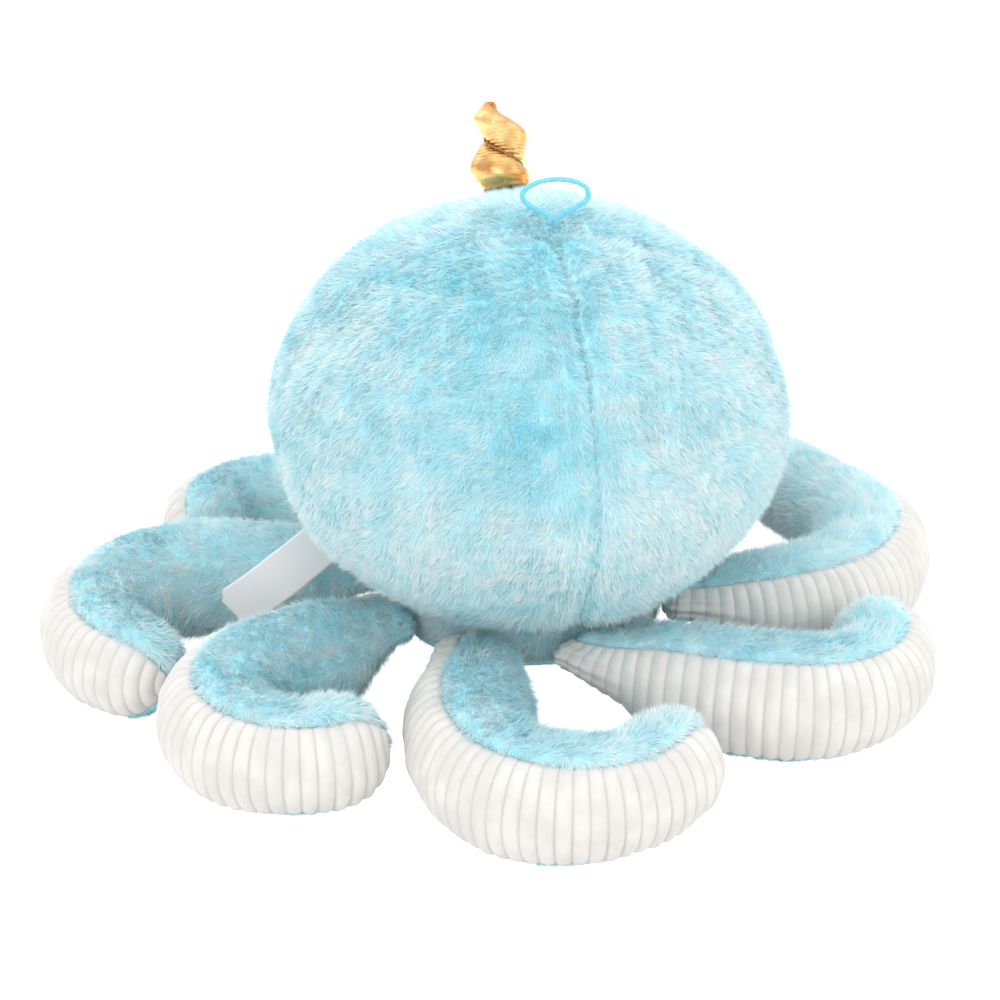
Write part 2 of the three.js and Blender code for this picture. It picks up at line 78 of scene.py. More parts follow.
# The arms: one row each of root bearing, splay, curl, length, rise and the shares where the curl runs
ARMS = [
    (18.5, 2, 205, 0.76, 0.4, 0.22, 1.25),
    (61.5, 14, 166, 0.76, 0.6, 0.17, 1.18),
    (103.5, 53, 133, 0.69, 0.7, 0.44, 1.24),
    (160.5, 19, 110, 1.01, 0.2, 0.07, 0.91),
    (202.5, 38, 146, 0.59, 0.8, 0.41, 1.39),
    (247.5, 14, 161, 0.56, 0.5, 0.17, 1.36),
    (296.5, 16, 166, 0.64, 0.9, 0.41, 1.36),
    (335.5, 4, 190, 0.9, 0.1, 0.24, 1.27),
]
ARM_LENGTH = 290.0
ARM_REACH = 93.3
ARM_ROOT_Z = 51.3
ROOT_WIDE, ROOT_HIGH, BELLY, TAPER = 54.0, 26.0, 72.0, 10.0
SWELL_SHARE, TAPER_SHARE = 0.24, 0.55
ARM_RISE = 10.0
FLOOR_SIDE = math.sin(math.radians(80))

# The angles of the rows round an arm's ends. Then the angles round it between which its fur lies, and
# how far beside them the fabric is drawn in and by how much. Then its ribs and gathers.
ROOT_ENDS = np.array([-84.0, -70, -52, -34, -16])
TIP_ENDS = np.array([12.0, 24, 36, 48, 59, 69, 78, 85])
FUR_FROM, FUR_TO = 64.0, 304.0
SEAM_ANGLE = 13.0
FUR_INSET, FUR_DRAWN_IN = 0.8, 2.4
RIB_INSET, RIB_DRAWN_IN = 1.9, 1.2
RIB_PITCH, RIB_HEIGHT = 9.4, 2.2
GATHER_DEPTH, GATHER_COUNT, GATHER_SHARE = 1.5, 15, 0.15
ARM_FILLING_INSET = 4.4

BACKING_THICKNESS, VELOUR_THICKNESS, SATIN_THICKNESS = 2.0, 1.4, 0.7

# Pile: strands to the square centimetre, their length, their width at the root and how deep it is
# sunk, the share of them that stands and the lean of both kinds in radians, the tufts to which
# their tips are drawn, and how many strands a mesh may hold
PILE_DENSITY = 210.0
PILE_LENGTH = 7.0
PILE_WIDTH = 0.46
PILE_SUNK = 0.35
STANDING_SHARE = 0.3
STANDING_LEAN, LYING_LEAN = 0.85, 1.3
TUFT_SIZE, TUFT_PULL = 7.5, 0.42
STRANDS_PER_PIECE = 190000

# The swelling: its angles round an arm and which of them is the one where the fur stops, its frames,
# the most that it may move, and its pressure and stiffness
COARSE_ANGLES = np.linspace(FUR_FROM, FUR_FROM + 360, 24, endpoint=False)
COARSE_FUR_TO = 16
SWELL_FRAMES = 12
SWELL_CAP = 4.0
SWELL_PRESSURE = 4.0
SWELL_STIFFNESS, SWELL_BENDING = 12.0, 0.4

# The horn: its length, its radius at the foot and the tip, the start, turns and reach of its spiral,
# its bow, how far its foot is raised so that it can tilt, its lean, its crease with the swelling and
# ripple beside it, its filling, and its thread
HORN_LENGTH = 58.0
HORN_FOOT, HORN_TIP = 16.5, 2.2
HORN_SWELL_SHARE = 0.22
HORN_START, HORN_TURNS = np.radians(81), 1.5
HORN_WOBBLE = 4.2
HORN_BOW = 0.35
HORN_RAISED = 3.8
HORN_LEAN = np.array([math.tan(math.radians(7)), -math.tan(math.radians(31)), 1.0])
HORN_CREASE, HORN_CREASE_REACH = 4.4, 0.38
HORN_PUFF, HORN_RIPPLE = 1.3, 0.8
HORN_FILLING_INSET = 3.4
THREAD_RADIUS, THREAD_SUNK = 0.7, 1.6

# The sewn-in strip: its length, half its width, and how much narrower that is at the free end
LABEL_LENGTH = 76.0
LABEL_HALF = 14.5
LABEL_NARROWED = 6.0

# The mouth: half its width, its level and its bow in degrees on the ball, and its stitches
MOUTH_HALF, MOUTH_LEVEL, MOUTH_BOW = 11.0, 17.0, 4.5
STITCH_RADIUS, STITCH_SUNK, STITCH_PITCH = 1.45, 0.6, 1.7

# The eyes, and how far the pile stays away from them, the mouth, the horn and the back seam
EYE_RADIUS, EYE_DOME = 12.5, 6.5
EYE_STEM = [(0.4, -14), (2.6, -13.8), (2.8, -13), (2.8, -1.5), (11.6, -1.4), (12.4, -1.0),
            (EYE_RADIUS, -0.3)]
EYE_CLEARING, MOUTH_CLEARING, HORN_CLEARING, SEAM_CLEARING = 11.5, 4.4, 13.0, 0.5

# The cord loop: its route is across and up from where it leaves the crown
CORD_RADIUS, CORD_LAY = 1.5, 5.5
LOOP_RAISED = 0.3
LOOP_ROUTE = [(-2.2, 0), (-2.2, 3), (-5.4, 6.4), (-12.6, 10), (-17.8, 14.8), (-16.7, 20.4), (-9, 24.5),
              (1.8, 25.8), (11.7, 24), (18, 19.7), (18.4, 14), (12.2, 9.3), (5.4, 6.1), (2.2, 3), (2.2, 0)]

# Camera, and lamps: one row each of name, place, height aimed at, size and power
CAMERA_PLACE, CAMERA_AIM = (0.210578, 1.146006, 0.6562), (0.005978, -0.014294, 0.1068)
SENSOR, LENS_SHARE = 36.0, 2.1835
LAMPS = [
    ("key_light", (0.9, 1.3, 1.6), 0.12, 1.2, 8.5),
    ("fill_light", (-1.4, 0.7, 1.2), 0.12, 1.4, 4.5),
    ("top_light", (0.0, -0.5, 1.9), 0.1, 1.5, 5.0),
    ("front_light", (0.5, -1.6, 1.0), 0.12, 1.2, 5.0),
]

# Places of the small pieces: their own x and y axes, and where they sit
EYE_PLACES = {
    "left": ([0.83379, 0.40128, -0.37918], [0.40128, 0.03123, 0.91542], [49.433, -145.382, 149.585]),
    "right": ([0.83379, -0.40128, 0.37918], [-0.40128, 0.03123, 0.91542], [-69.877, -145.382, 149.585]),
}
HORN_PLACE = ([0.99808, 0.01458, -0.06019], [0.01458, 0.88925, 0.45719], [-10.222, -81.394, 273.285])
LOOP_PLACE = ([0.99937, 0.00153, 0.03551], [0.00153, 0.99632, -0.08572], [-18.722, 13.606, 285.544])
LABEL_PLACE = ([0.79428, -0.04163, -0.60612], [0.05234, 0.99863, 0.0], [107.616, -17.57, 90.107])


# Numbers


def smooth(value, start, stop):
    share = np.clip((np.asarray(value, float) - start) / (stop - start), 0, 1)
    return share * share * (3 - 2 * share)


def unit(vectors):
    return vectors / np.maximum(np.linalg.norm(vectors, axis=-1, keepdims=True), 1e-9)


def flattened(vectors, normals):
    """Vectors without the part of them that runs along the normals."""
    return vectors - normals * (vectors * normals).sum(-1, keepdims=True)


def round_angles(count):
    """Angles once round, in the sense that turns a closed surface's faces outwards."""
    return -2 * np.pi * np.arange(count) / count


def distances_along(path):
    """How far each place on a path is from its start."""
    return np.concatenate([[0], np.cumsum(np.linalg.norm(np.diff(path, axis=0), axis=1))])


def path_at(places, path_places, path):
    """A path's points read at other places along it."""
    return np.stack([np.interp(places, path_places, path[:, axis]) for axis in range(3)], -1)


def bearing_vector(degrees):
    angle = np.radians(np.asarray(degrees, float))
    return np.stack([np.cos(angle), np.sin(angle), np.zeros_like(angle)], -1)


def axes(place):
    """A small piece's own axes, as rows."""
    x, y = np.array(place[:2])
    return np.array([x, y, np.cross(x, y)])


def placed(place, points):
    """Points given in a small piece's own axes, in the toy's frame."""
    return points @ axes(place) + np.array(place[2])


CELLS = 4096
LATTICE = np.random.default_rng(11).random((3, CELLS)) * 2 - 1


def cell_number(cells):
    """A number below CELLS for each cell of space, mixed so that neighbours differ."""
    mixed = cells[..., 0] * 73856093 ^ cells[..., 1] * 19349663 ^ cells[..., 2] * 83492791
    return mixed & (CELLS - 1)


def drift(points, size, channel=0):
    """A smooth field from -1 to 1 that changes over about the given size."""
    place = points / size + 31.7
    cells = np.floor(place).astype(np.int64)
    part = place - cells
    part = part * part * (3 - 2 * part)
    total = 0
    for corner in np.ndindex(2, 2, 2):
        weight = np.prod(np.where(np.array(corner), part, 1 - part), axis=-1)
        total = total + weight * LATTICE[channel][cell_number(cells + np.array(corner))]
    return total


# Surfaces


class Surface:
    """A grid of points, rows along and columns round, that may close on itself."""

    def __init__(self, points, closed):
        self.points = points
        self.closed = closed
        self.around = np.concatenate([points, points[:, :1]], 1) if closed else points
        along = np.gradient(self.around, axis=0)
        across = np.gradient(self.around, axis=1)
        if closed:
            across[:, 0] = across[:, -1] = (points[:, 1] - points[:, -1]) / 2
        self.along = unit(along)
        self.normals = unit(np.cross(along, across))

    def raised(self, heights):
        """The same surface with each point moved along its normal."""
        columns = self.points.shape[1]
        return Surface(self.points + self.normals[:, :columns] * heights[..., None], self.closed)

    def faces(self):
        rows, columns = self.points.shape[:2]
        row, column = np.meshgrid(np.arange(rows - 1), np.arange(columns if self.closed else columns - 1),
                                  indexing="ij")
        after = (column + 1) % columns
        corners = [row * columns + column, (row + 1) * columns + column,
                   (row + 1) * columns + after, row * columns + after]
        return np.stack(corners, -1).reshape(-1, 4)

    def scatter(self, density, random):
        """Random places: their points, normals, ways along, rows and columns."""
        grid = self.around
        a, b = grid[1:, 1:] - grid[:-1, :-1], grid[1:, :-1] - grid[:-1, 1:]
        areas = np.linalg.norm(np.cross(a, b), axis=-1).ravel() / 2
        total = np.cumsum(areas)
        count = int(total[-1] * density / 100)
        cell = np.searchsorted(total, random.random(count) * total[-1])
        row, column = np.divmod(np.clip(cell, 0, len(areas) - 1), grid.shape[1] - 1)
        u, v = random.random((2, count, 1))

        def at(field):
            low = field[row, column] * (1 - v) + field[row, column + 1] * v
            high = field[row + 1, column] * (1 - v) + field[row + 1, column + 1] * v
            return low * (1 - u) + high * u

        return at(grid), unit(at(self.normals)), unit(at(self.along)), row + u[:, 0], column + v[:, 0]


# Meshes


def add_mesh(name, points, faces, material, smoothed=True, attributes=None, uv=None):
    """A mesh object from points in millimetres and faces of one size."""
    mesh = bpy.data.meshes.new(name)
    mesh.vertices.add(len(points))
    mesh.vertices.foreach_set("co", (np.asarray(points, np.float64) * MM).astype(np.float32).ravel())
    mesh.loops.add(faces.size)
    mesh.loops.foreach_set("vertex_index", faces.astype(np.int32).ravel())
    mesh.polygons.add(len(faces))
    mesh.polygons.foreach_set("loop_start", np.arange(0, faces.size, faces.shape[1], dtype=np.int32))
    mesh.update(calc_edges=True)
    mesh.polygons.foreach_set("use_smooth", np.full(len(faces), smoothed))
    for title, values in (attributes or {}).items():
        layer = mesh.attributes.new(title, "FLOAT", "POINT")
        layer.data.foreach_set("value", values.astype(np.float32))
    if uv is not None:
        layer = mesh.uv_layers.new(name="OFBake")
        layer.data.foreach_set("uv", uv[faces.ravel()].astype(np.float32).ravel())
    mesh.materials.append(material)
    piece = bpy.data.objects.new(name, mesh)
    bpy.context.collection.objects.link(piece)
    return piece


def only(piece):
    """Makes a piece the only one selected, and the active one."""
    bpy.ops.object.select_all(action="DESELECT")
    piece.select_set(True)
    bpy.context.view_layer.objects.active = piece


def fabric_sheet(name, surface, material, thickness, keep=None):
    """A sheet of fabric with its thickness on the inside."""
    points, faces = surface.points.reshape(-1, 3), surface.faces()
    if keep is not None:
        faces = faces[keep(points[faces].mean(1))]
    used, faces = np.unique(faces, return_inverse=True)
    sheet = add_mesh(name, points[used], faces.reshape(-1, 4), material)
    only(sheet)
    modifier = sheet.modifiers.new("thickness", "SOLIDIFY")
    modifier.thickness = thickness * MM
    modifier.offset = -1
    bpy.ops.object.modifier_apply(modifier=modifier.name)
    return sheet


def closed_form(name, surface, material):
    """A closed piece: a round surface whose two end rows are drawn to a point."""
    rows, columns = surface.points.shape[:2]
    points = surface.points.reshape(-1, 3)
    ends = [surface.points[0].mean(0), surface.points[-1].mean(0)]
    points = np.concatenate([points, np.repeat(ends, columns, axis=0)])
    first = rows * columns
    column = np.arange(columns)
    after = (column + 1) % columns
    start = np.stack([first + column, column, after, first + after], -1)
    last = (rows - 1) * columns
    stop = np.stack([last + column, first + columns + column, first + columns + after, last + after], -1)
    faces = np.concatenate([surface.faces(), start, stop])
    piece = add_mesh(name, points, faces, material)
    only(piece)
    bpy.ops.object.mode_set(mode="EDIT")
    bpy.ops.mesh.select_all(action="SELECT")
    bpy.ops.mesh.remove_doubles(threshold=0.00001)
    bpy.ops.object.mode_set(mode="OBJECT")
    return piece


def tube(path, radius, sides, lobes, lobe, pitch):
    """A round cord's surface along a path, with its strands laid as a twist."""
    forward = unit(np.gradient(path, axis=0))
    side = unit(np.cross(forward[0], OFF_AXIS))
    angle = round_angles(sides)
    rings = []
    for point, way, along in zip(path, forward, distances_along(path)):
        side = unit(side - way * (side @ way))
        other = np.cross(way, side)
        strands = np.abs(np.cos((lobes * angle - 2 * np.pi * along / pitch) / 2))
        thick = radius * (1 + lobe * (strands - 0.7))
        out = np.cos(angle)[:, None] * side + np.sin(angle)[:, None] * other
        rings.append(point + thick[:, None] * out)
    return Surface(np.array(rings), True)


def through(points, count):
    """A smooth curve through points, as evenly spaced places."""
    points = np.asarray(points, float)
    padded = np.concatenate([[2 * points[0] - points[1]], points, [2 * points[-1] - points[-2]]])
    steps = np.linspace(0, 1, 16, endpoint=False)
    fine = []
    for a, b, c, d in zip(padded, padded[1:], padded[2:], padded[3:]):
        for t in steps:
            fine.append(0.5 * (2 * b + (c - a) * t + (2 * a - 5 * b + 4 * c - d) * t * t
                               + (3 * b - a - 3 * c + d) * t ** 3))
    fine = np.array(fine + [points[-1]])
    reach = distances_along(fine)
    return path_at(np.linspace(0, reach[-1], count), reach, fine)


# Materials


class Value:
    """A socket that takes part in sums."""

    def __init__(self, paint, socket):
        self.paint = paint
        self.socket = socket

    def sum(self, operation, other):
        return self.paint.node("ShaderNodeMath", {"operation": operation}, {0: self, 1: other})

    def __add__(self, other):
        return self.sum("ADD", other)

    def __mul__(self, other):
        return self.sum("MULTIPLY", other)


class Paint:
    """A material made of nodes, with one principled shader."""

    def __init__(self, name, **finish):
        self.material = bpy.data.materials.new(name)
        self.material.use_nodes = True
        self.tree = self.material.node_tree
        self.tree.nodes.clear()
        self.shader = self.tree.nodes.new("ShaderNodeBsdfPrincipled")
        output = self.tree.nodes.new("ShaderNodeOutputMaterial")
        self.tree.links.new(self.shader.outputs[0], output.inputs["Surface"])
        for title, value in finish.items():
            self.shader.inputs[title.replace("_", " ").title().replace("Ior", "IOR")].default_value = value

    def node(self, kind, settings=None, inputs=None, output=0):
        made = self.tree.nodes.new(kind)
        for title, value in (settings or {}).items():
            setattr(made, title, value)
        for title, value in (inputs or {}).items():
            if isinstance(value, Value):
                self.tree.links.new(value.socket, made.inputs[title])
            else:
                made.inputs[title].default_value = value
        return Value(self, made.outputs[output])

    def place(self):
        return self.node("ShaderNodeTexCoord", output="Object")

    def attribute(self, title):
        return self.node("ShaderNodeAttribute", {"attribute_name": title}, output="Fac")

    def grain(self, scale, detail=2.0, vector=None, roughness=0.5):
        inputs = {"Scale": scale, "Detail": detail, "Roughness": roughness,
                  "Vector": vector or self.place()}
        return self.node("ShaderNodeTexNoise", inputs=inputs)

    def stretch(self, x, y, z):
        return self.node("ShaderNodeMapping", inputs={"Vector": self.place(), "Scale": (x, y, z)})

    def band(self, value, low, high):
        """0 below low and 1 above high."""
        return self.node("ShaderNodeMapRange", {"interpolation_type": "SMOOTHSTEP"},
                         {"Value": value, "From Min": low, "From Max": high})

    def mix(self, factor, a, b):
        return self.node("ShaderNodeMix", {"data_type": "RGBA"}, {0: factor, 6: a, 7: b}, 2)

    def colour(self, value):
        self.tree.links.new(value.socket, self.shader.inputs["Base Color"])

    def rough(self, value):
        self.tree.links.new(value.socket, self.shader.inputs["Roughness"])

    def bump(self, height, strength, distance):
        inputs = {"Strength": strength, "Distance": distance, "Height": height}
        made = self.node("ShaderNodeBump", inputs=inputs)
        self.tree.links.new(made.socket, self.shader.inputs["Normal"])


def srgb(red, green, blue):
    """A colour from its levels on a screen, out of 255."""
    def straight(value):
        value /= 255
        return value / 12.92 if value <= 0.04045 else ((value + 0.055) / 1.055) ** 2.4

    return (straight(red), straight(green), straight(blue), 1.0)


def pile_paint():
    paint = Paint("long_pile", roughness=0.75, specular_ior_level=0.25, sheen_weight=0.3,
                  sheen_roughness=0.6)
    height, tone = paint.attribute("pile"), paint.attribute("tone")
    tip = paint.mix(tone, srgb(184, 241, 250), srgb(246, 253, 254))
    root = paint.mix(tone, srgb(144, 231, 245), srgb(222, 247, 251))
    paint.colour(paint.mix(paint.band(height, 0.0, 0.8), root, tip))
    return paint.material


def backing_paint():
    paint = Paint("pile_backing", roughness=0.9, sheen_weight=0.2)
    mottled = paint.grain(160, 4)
    paint.colour(paint.mix(paint.band(mottled, 0.3, 0.7), srgb(162, 238, 250), srgb(206, 246, 253)))
    paint.bump(paint.grain(900, 3), 0.6, 0.0012)
    return paint.material


def velour_paint():
    paint = Paint("ribbed_velour", roughness=0.85, specular_ior_level=0.2, sheen_weight=0.35,
                  sheen_roughness=0.4)
    nap = paint.grain(1100, 3, roughness=0.6)
    brushed = paint.grain(55, 3)
    shade = paint.mix(paint.band(brushed, 0.35, 0.7), srgb(223, 220, 216), srgb(234, 231, 227))
    # The grooves between the ribs are painted darker: painted shade in the creases, added to the shade the
    # ribs' own shape casts
    groove_shading = paint.band(paint.attribute("crest"), 0.0, 0.6)
    paint.colour(paint.mix(groove_shading, srgb(216, 213, 209), shade))
    paint.rough(paint.band(nap, 0.2, 0.8) * 0.15 + 0.78)
    paint.bump(nap + paint.grain(330, 2) * 0.8, 0.35, 0.0007)
    return paint.material


def filling_paint():
    paint = Paint("fibre_filling", roughness=1.0)
    fibre = paint.grain(420, 6, roughness=0.7)
    paint.colour(paint.mix(fibre, srgb(228, 228, 224), srgb(250, 250, 248)))
    paint.bump(fibre, 0.8, 0.003)
    return paint.material


def gold_paint():
    paint = Paint("gold_lame", metallic=0.92, roughness=0.27)
    weave = paint.node("ShaderNodeTexVoronoi", inputs={"Scale": 1700.0, "Vector": paint.place()})
    gold_patches = paint.grain(60, 2)
    # The gold varies at random between a darker and a paler colour, in patches
    paint.colour(paint.mix(paint.band(gold_patches, 0.3, 0.75), srgb(200, 140, 74), srgb(248, 208, 144)))
    paint.rough(paint.band(gold_patches, 0.2, 0.8) * 0.14 + 0.2)
    paint.bump(paint.grain(170, 4, roughness=0.55) + weave * 0.12, 0.3, 0.0016)
    return paint.material


def thread_paint(name, dark, light):
    paint = Paint(name, roughness=0.5, sheen_weight=0.2)
    laid = paint.grain(1600, 2, roughness=0.6)
    paint.colour(paint.mix(paint.band(laid, 0.3, 0.7), dark, light))
    paint.bump(laid, 0.5, 0.0003)
    return paint.material


def satin_paint():
    paint = Paint("white_satin", roughness=0.42, specular_ior_level=0.4, sheen_weight=0.15)
    yarns = paint.grain(1.0, 1, paint.stretch(5200, 5200, 260))
    paint.colour(paint.mix(yarns, srgb(246, 246, 248), srgb(253, 253, 254)))
    paint.rough(paint.band(yarns, 0.3, 0.7) * 0.12 + 0.36)
    paint.bump(yarns, 0.25, 0.0002)
    return paint.material


def eye_paint():
    paint = Paint("black_eye", roughness=0.08, specular_ior_level=0.3, coat_weight=0.4,
                  coat_roughness=0.03)
    depth = paint.grain(90, 2)
    paint.colour(paint.mix(depth, srgb(10, 10, 12), srgb(22, 20, 20)))
    return paint.material


def washer_paint():
    paint = Paint("washer_plastic", roughness=0.5)
    moulded = paint.grain(300, 3)
    paint.colour(paint.mix(moulded, srgb(225, 225, 222), srgb(240, 240, 238)))
    paint.rough(moulded * 0.15 + 0.42)
    return paint.material


PILE = pile_paint()
BACKING = backing_paint()
VELOUR = velour_paint()
FILLING = filling_paint()
GOLD = gold_paint()
GOLD_THREAD = thread_paint("gold_thread", srgb(120, 82, 34), srgb(196, 146, 72))
CORD = thread_paint("blue_cord", srgb(96, 200, 228), srgb(140, 224, 244))
SATIN = satin_paint()
EYE = eye_paint()
WASHER = washer_paint()
MOUTH_THREAD = thread_paint("dark_thread", srgb(24, 50, 64), srgb(52, 86, 104))


# Camera and lamps


def aim_from(piece, place, aim):
    """Stands a camera or a lamp at a place and points it at another."""
    piece.location = place
    piece.rotation_euler = (Vector(aim) - Vector(place)).to_track_quat("-Z", "Y").to_euler()


def add_lamp(name, place, aim_height, size, power):
    data = bpy.data.lights.new(name, "AREA")
    data.size = size
    data.energy = power
    lamp = bpy.data.objects.new(name, data)
    bpy.context.collection.objects.link(lamp)
    aim_from(lamp, place, (0, 0, aim_height))


def add_camera():
    data = bpy.data.cameras.new("camera")
    data.sensor_width = SENSOR
    data.lens = SENSOR * LENS_SHARE
    data.clip_end = 40
    camera = bpy.data.objects.new("camera", data)
    bpy.context.collection.objects.link(camera)
    aim_from(camera, CAMERA_PLACE, CAMERA_AIM)
    bpy.context.scene.camera = camera


# Attaching, and the cord loop


def attach(piece, body, slot, *nodes):
    """Says which body a piece rides and which nodes it stands for; its slot is not used."""
    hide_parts(*nodes)
    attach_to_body(piece, body)


def dress(piece, body, slot, *nodes, fill=0.7):
    """Attaches a piece; its fill is not used."""
    attach(piece, body, slot, *nodes)


def add_loop():
    """The cord loop, along its route over the crown, with its three strands."""
    local = np.array([(-across, 0.0, high + LOOP_RAISED) for across, high in LOOP_ROUTE])
    path = through(placed(LOOP_PLACE, local), 150)
    surface = tube(path, CORD_RADIUS, 18, lobes=3, lobe=0.16, pitch=CORD_LAY)
    loop = closed_form("cord_loop", surface, CORD)
    attach(loop, "head", "blue_cord", "hanging_loop")


# Head


def seam_distances(points):
    """How far points are behind the cross seam, and how far to the left of the back seam."""
    x, y, z = np.moveaxis(points, -1, 0)
    return y - (CROSS_SEAM_Y - (BALL_TOP - z) * CROSS_SEAM_LEAN), x - BACK_SEAM_X


def seam_depth(points):
    """How far the fabric is drawn in beside the head's seams."""
    behind, left = seam_distances(points)
    beside_back = np.where(behind > -2, np.abs(left), FAR)
    upper = smooth(points[..., 2], *SEAM_HEIGHTS)
    depths = [share * (SEAM_DIP * np.exp(-(away / SEAM_DIP_REACH) ** 2)
                       + SEAM_CREASE * np.exp(-(away / SEAM_CREASE_REACH) ** 2))
              for share, away in ((CROSS_SEAM_SHARE, np.abs(behind)), (1.0, beside_back))]
    return np.maximum(*depths) * (0.35 + 0.65 * upper)


def ball_surface(rows, columns, inset):
    """The hub's side and the ball over it, drawn in by an inset."""
    hub_rows = max(rows // 12, 2)
    angles = np.radians(np.linspace(BALL_LOWEST, BALL_HIGHEST, rows - hub_rows))
    radius = (BALL_RADII[0] - inset) * np.cos(angles)
    height = BALL_MIDDLE[2] + (BALL_RADII[2] - inset) * np.sin(angles)
    hub_height = np.linspace(HUB_FLOOR + inset / 3, height[0], hub_rows, endpoint=False)
    hub_radius = np.linspace(HUB_RADIUS - inset, radius[0], hub_rows, endpoint=False)
    radius, height = np.concatenate([hub_radius, radius]), np.concatenate([hub_height, height])
    turn = round_angles(columns)
    points = np.stack([radius[:, None] * np.cos(turn), radius[:, None] * np.sin(turn),
                       np.repeat(height[:, None], columns, 1)], -1)
    return Surface(points + ORIGIN, True)


def spread(field, rows, columns):
    """A coarse closed field read at a finer grid's rows and columns."""
    field = np.concatenate([field, field[:, :1]], 1)
    old_rows, old_columns = np.arange(field.shape[0]), np.arange(field.shape[1])
    new_rows = np.linspace(0, field.shape[0] - 1, rows)
    new_columns = np.arange(columns) * (field.shape[1] - 1) / columns
    by_row = np.stack([np.interp(new_rows, old_rows, column) for column in field.T], -1)
    return np.stack([np.interp(new_columns, old_columns, row) for row in by_row])


def beside_places(points, places):
    """How far each point is from the nearest of some places."""
    return np.min(np.linalg.norm(points[:, None] - places[None], axis=-1), axis=1)


def mouth_path(lift):
    """The places of the mouth's stitches on the ball, which bow down in the middle."""
    across = np.linspace(-1, 1, 41)
    bearing = np.radians(across * MOUTH_HALF - 90)
    elevation = np.radians(-MOUTH_LEVEL - MOUTH_BOW * (1 - across * across))
    way = np.stack([np.cos(bearing) * np.cos(elevation), np.sin(bearing) * np.cos(elevation),
                    np.sin(elevation)], -1)
    reach = 1 / np.sqrt(((way / BALL_RADII) ** 2).sum(-1))
    return BALL_MIDDLE + way * (reach + lift)[:, None]


HEAD_PANELS = {
    "head_front": lambda behind, left: behind < 0,
    "head_back_left": lambda behind, left: (behind >= 0) & (left >= 0),
    "head_back_right": lambda behind, left: (behind >= 0) & (left < 0),
}


def add_head(puff):
    """The head's three panels: their backing, and then their pile."""
    rows, columns = 96, 168
    base = ball_surface(rows, columns, HEAD_INSET)
    lumps = 1.5 * drift(base.points, 62) + 0.8 * drift(base.points, 27, 1)
    heights = spread(puff, rows, columns) + lumps - seam_depth(base.points)
    heights -= HUB_DRAWN_IN * (1 - smooth(base.points[..., 2], HUB_TOP, HUB_BLEND_TOP))
    skin = base.raised(heights)
    for name, belongs in HEAD_PANELS.items():
        sheet = fabric_sheet(f"{name}_backing", skin, BACKING, BACKING_THICKNESS,
                             lambda middles, belongs=belongs: belongs(*seam_distances(middles)))
        dress(sheet, "head", "blue_fur", f"{name}_panel")
    add_head_pile(skin)


def add_head_pile(skin):
    """Pile that parts at the back seam and leaves the eyes, mouth and horn clear."""
    random = np.random.default_rng(5)
    point, normal, _, _, _ = skin.scatter(PILE_DENSITY, random)
    behind, left = seam_distances(point)
    beside_eyes = beside_places(point, np.array([place[2] for place in EYE_PLACES.values()]))
    beside_mouth = beside_places(point, mouth_path(-3)[::4])
    beside_horn = np.linalg.norm(point - np.array(HORN_PLACE[2]), axis=1)
    parting = np.where(behind > 0, np.abs(left), FAR)
    clear = (beside_eyes >= EYE_CLEARING) & (beside_mouth > MOUTH_CLEARING)
    clear &= (beside_horn > HORN_CLEARING) & (parting > SEAM_CLEARING)
    clear &= (normal[:, 2] > -0.55) | (random.random(len(point)) < 0.4)
    aside = 0.8 * np.tanh(left / 20) * (behind > 0)
    flow = np.stack([aside, np.zeros(len(point)), -np.ones(len(point))], -1)
    flow += 0.3 * unit(point - BALL_MIDDLE) * np.array([1, 1, 0])
    lengths = PILE_LENGTH * (0.5 + 0.5 * smooth(parting, 0, 8))
    lengths = lengths * (0.4 + 0.6 * smooth(beside_mouth, 4, 12))
    deep = 1 - smooth(np.abs(left - DEEP_MIDDLE), *DEEP_FADES)
    deep = deep * smooth(point[:, 2], *DEEP_HEIGHTS)
    deep = deep * (0.8 + 0.3 * drift(point, 22))
    tone = (0.1 - 0.45 * deep) * (behind > 0)
    for name, belongs in HEAD_PANELS.items():
        chosen = clear & belongs(behind, left)
        add_pile(name, point[chosen], normal[chosen], flow[chosen], lengths[chosen], "head",
                 f"{name}_panel", random, tone[chosen])


# Pile


